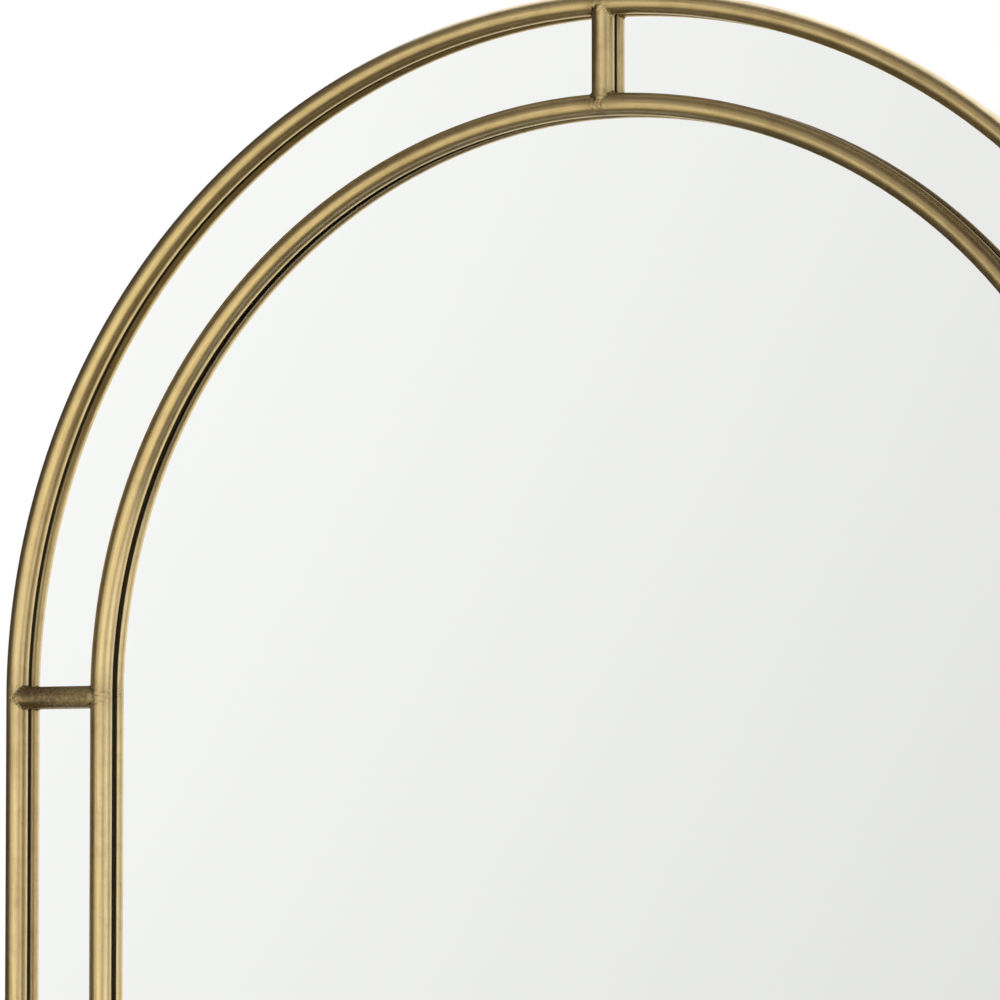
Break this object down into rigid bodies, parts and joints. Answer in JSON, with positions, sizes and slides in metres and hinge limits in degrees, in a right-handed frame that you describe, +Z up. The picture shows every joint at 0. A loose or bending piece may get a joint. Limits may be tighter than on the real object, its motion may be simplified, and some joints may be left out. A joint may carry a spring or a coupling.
{
  "type": "leaning floor mirror",
  "caption": "Arched full-length floor mirror: two round brass tube frames joined by short struts over one sheet of mirror glass, with a flat tray band and hangers behind.",
  "frame": {"origin": "middle of the footprint on the floor, below the middle of the depth", "axes": "+Z up, -Y out of the reflecting face, +Y towards the wall, +X to the right seen from the front"},
  "size_m": [0.915, 0.04, 1.8299],
  "materials": {
    "tube_brass": "satin, brushed along the tube, lightly aged",
    "band_brass": "satin",
    "mirror": "polished, silvered on the back",
    "foam": "closed-cell foam",
    "board": "plain fibreboard",
    "zinc_steel": "zinc plated",
    "bar_steel": "matt black powder coat",
    "rubber": "matt"
  },
  "bodies": {
    "frame_and_back": {"outer_arch_tube": "tube_brass", "outer_left_leg": "tube_brass", "outer_right_leg": "tube_brass", "outer_bottom_tube": "tube_brass", "inner_arch_tube": "tube_brass", "inner_left_leg": "tube_brass", "inner_right_leg": "tube_brass", "inner_bottom_tube": "tube_brass", "top_strut": "tube_brass", "bottom_strut": "tube_brass", "left_upper_strut": "tube_brass", "left_lower_strut": "tube_brass", "right_upper_strut": "tube_brass", "right_lower_strut": "tube_brass", "rim_arch_band": "band_brass", "rim_left_band": "band_brass", "rim_right_band": "band_brass", "rim_bottom_band": "band_brass", "clip_rivets": "band_brass", "cross_bar_rivets": "band_brass", "mirror_glass": "mirror", "foam_sheet": "foam", "backing_board": "board", "retaining_clips": "zinc_steel", "clip_screws": "zinc_steel", "bumper_screws": "zinc_steel", "hanger_screws": "zinc_steel", "left_hanger_plate": "zinc_steel", "right_hanger_plate": "zinc_steel", "upper_cross_bar": "bar_steel", "lower_cross_bar": "bar_steel", "setting_blocks": "rubber", "wall_bumpers": "rubber", "floor_pads": "rubber"},
    "left_ring": {"left_d_ring": "zinc_steel"},
    "right_ring": {"right_d_ring": "zinc_steel"}
  },
  "joints": [
    {"name": "left_ring_swing", "type": "hinge", "parent": "frame_and_back", "child": "left_ring", "pos_m": [-0.3, 0.0142, 1.312], "axis": [1, 0, 0], "range_deg": [0, 180]},
    {"name": "right_ring_swing", "type": "hinge", "parent": "frame_and_back", "child": "right_ring", "pos_m": [0.3, 0.0142, 1.312], "axis": [1, 0, 0], "range_deg": [0, 180]}
  ]
}
